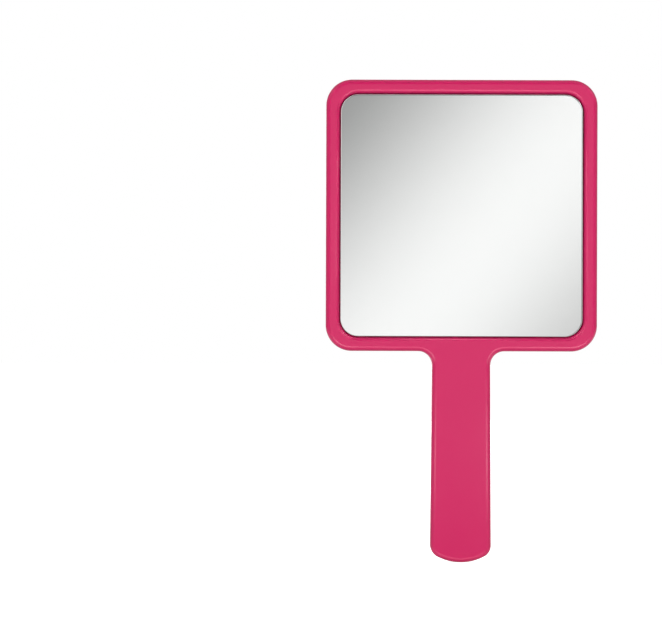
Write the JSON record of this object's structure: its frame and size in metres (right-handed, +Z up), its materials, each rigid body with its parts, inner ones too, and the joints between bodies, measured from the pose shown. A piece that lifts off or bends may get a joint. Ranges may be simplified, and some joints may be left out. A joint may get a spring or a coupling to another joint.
{
  "type": "hand mirror",
  "caption": "Square salon hand mirror with a rounded bead rim round recessed glass and a flat, slightly flared handle.",
  "frame": {"origin": "middle of the lower end of the handle, half way through the depth", "axes": "+Z up the mirror from handle to head, +X to the right as seen from the front, the glass faces -Y"},
  "size_m": [0.16, 0.012, 0.2845],
  "materials": {
    "pink_shell": "smooth moulded gloss, raspberry pink",
    "pink_back": "smooth moulded gloss with a fine-textured panel, raspberry pink",
    "glass": "polished float glass with a ground arris",
    "silver": "silver coat on the back of the glass",
    "backing_paint": "dull grey protective paint",
    "foam_tape": "white closed-cell foam tape",
    "foam_pad": "dark closed-cell foam"
  },
  "bodies": {
    "root": {"front_frame": "pink_shell", "rear_cover": "pink_back", "mirror_glass": "glass", "silver_coat": "silver", "backing_paint": "backing_paint", "foam_tape_top": "foam_tape", "foam_tape_bottom": "foam_tape", "foam_tape_left": "foam_tape", "foam_tape_right": "foam_tape", "foam_pad_centre": "foam_pad"}
  },
  "joints": []
}
